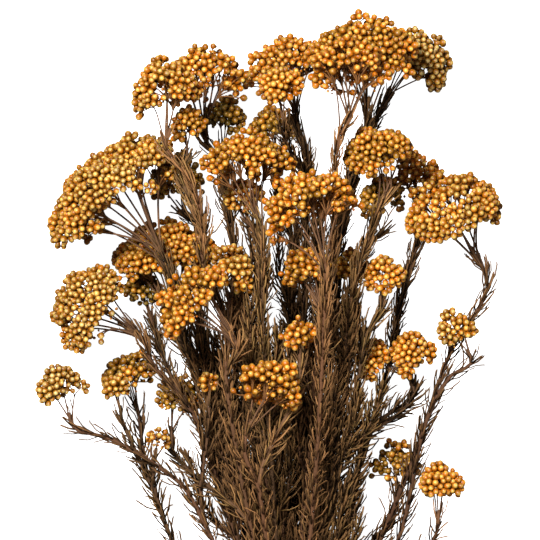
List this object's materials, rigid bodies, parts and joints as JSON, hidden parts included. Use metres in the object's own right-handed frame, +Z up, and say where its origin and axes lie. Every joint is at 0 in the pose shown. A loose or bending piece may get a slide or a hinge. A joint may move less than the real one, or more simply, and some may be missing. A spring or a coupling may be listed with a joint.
{
  "type": "dried rice flower bunch",
  "caption": "Tied bunch of dried rice flower lying on its side: leafy brown stems with domed heads of golden bead-like buds.",
  "frame": {"origin": "on the surface that the bunch lies on, under the middle of the tie", "axes": "+Y from the tie along the bunch towards the flower heads, +Z up from the surface, +X to the right in the picture"},
  "size_m": [0.2312, 0.4576, 0.1456],
  "materials": {
    "dried_buds": "matte",
    "dried_stems": "matte",
    "jute_twine": "matte"
  },
  "bodies": {
    "root": {"flower_head_01a": "dried_buds", "flower_head_01b": "dried_buds", "flower_head_02a": "dried_buds", "flower_head_02b": "dried_buds", "flower_head_03a": "dried_buds", "flower_head_03b": "dried_buds", "flower_head_03c": "dried_buds", "flower_head_04": "dried_buds", "flower_head_05a": "dried_buds", "flower_head_05b": "dried_buds", "flower_head_06": "dried_buds", "flower_head_07a": "dried_buds", "flower_head_07b": "dried_buds", "flower_head_08a": "dried_buds", "flower_head_08b": "dried_buds", "flower_head_09a": "dried_buds", "flower_head_09b": "dried_buds", "flower_head_10": "dried_buds", "flower_head_11a": "dried_buds", "flower_head_11b": "dried_buds", "flower_head_12a": "dried_buds", "flower_head_12b": "dried_buds", "flower_head_13a": "dried_buds", "flower_head_13b": "dried_buds", "flower_head_13c": "dried_buds", "flower_head_14a": "dried_buds", "flower_head_14b": "dried_buds", "flower_head_15a": "dried_buds", "flower_head_15b": "dried_buds", "flower_head_15c": "dried_buds", "flower_head_16a": "dried_buds", "flower_head_16b": "dried_buds", "flower_head_17a": "dried_buds", "flower_head_17b": "dried_buds", "flower_head_18a": "dried_buds", "flower_head_18b": "dried_buds", "flower_head_18c": "dried_buds", "flower_head_19a": "dried_buds", "flower_head_19b": "dried_buds", "flower_head_19c": "dried_buds", "leafy_stem_01": "dried_stems", "leafy_stem_02": "dried_stems", "leafy_stem_03": "dried_stems", "leafy_stem_04": "dried_stems", "leafy_stem_05": "dried_stems", "leafy_stem_06": "dried_stems", "leafy_stem_07": "dried_stems", "leafy_stem_08": "dried_stems", "leafy_stem_09": "dried_stems", "leafy_stem_10": "dried_stems", "leafy_stem_11": "dried_stems", "leafy_stem_12": "dried_stems", "leafy_stem_13": "dried_stems", "leafy_stem_14": "dried_stems", "leafy_stem_15": "dried_stems", "leafy_stem_16": "dried_stems", "leafy_stem_17": "dried_stems", "leafy_stem_18": "dried_stems", "leafy_stem_19": "dried_stems", "twine_tie": "jute_twine"}
  },
  "joints": []
}
